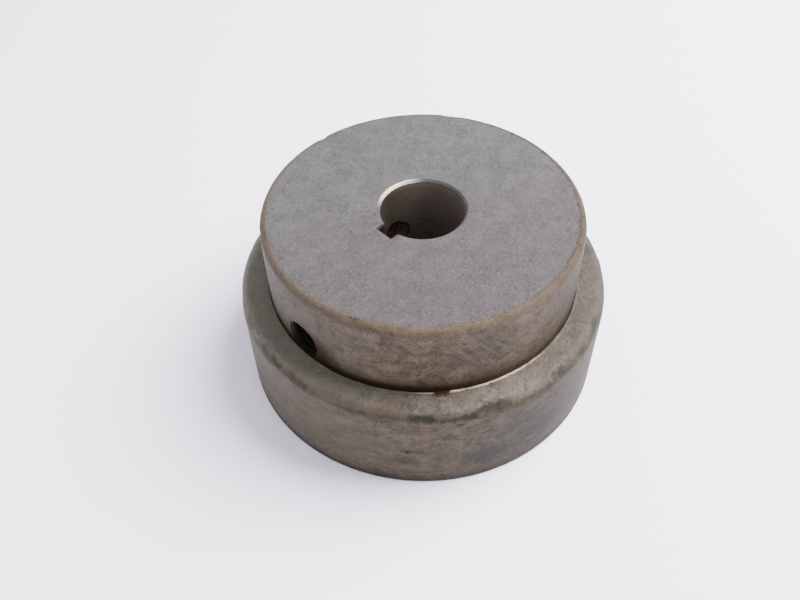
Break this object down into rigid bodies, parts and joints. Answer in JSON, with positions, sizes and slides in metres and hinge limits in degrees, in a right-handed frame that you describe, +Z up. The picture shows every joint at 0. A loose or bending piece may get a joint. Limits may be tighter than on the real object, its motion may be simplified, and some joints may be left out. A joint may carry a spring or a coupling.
{
  "type": "jaw coupling half",
  "caption": "Jaw coupling half: keyed steel hub with jaws, a sliding collar, elastomer load cushions between the jaws and recessed set screws.",
  "frame": {"origin": "centre of the base, on the plane of the jaw tips and the collar's lower face", "axes": "+Z up the bore towards the hub's end face; +X towards the keyway and the set screw over it; -Y towards the side set screw"},
  "size_m": [0.0869, 0.0868, 0.0444],
  "materials": {
    "hub_steel": "turned sintered steel, dull, lightly rusted at the edges",
    "collar_steel": "turned steel, dull, worn at the edges",
    "screw_steel": "black oxide, worn at the socket",
    "elastomer": "moulded nitrile rubber, matt"
  },
  "bodies": {
    "hub": {"hub": "hub_steel", "cushion_1": "elastomer", "cushion_2": "elastomer", "cushion_3": "elastomer", "cushion_4": "elastomer", "cushion_5": "elastomer", "cushion_6": "elastomer"},
    "collar": {"collar": "collar_steel"},
    "keyway_set_screw": {"keyway_set_screw": "screw_steel"},
    "side_set_screw": {"side_set_screw": "screw_steel"}
  },
  "joints": [
    {"name": "collar_slide", "type": "slide", "parent": "hub", "child": "collar", "axis": [0, 0, 1], "range_m": [0, 0.019]},
    {"name": "keyway_screw_travel", "type": "slide", "parent": "hub", "child": "keyway_set_screw", "axis": [1, 0, 0], "range_m": [-0.0022, 0.003]},
    {"name": "side_screw_travel", "type": "slide", "parent": "hub", "child": "side_set_screw", "axis": [0, -1, 0], "range_m": [-0.0045, 0.003]}
  ]
}
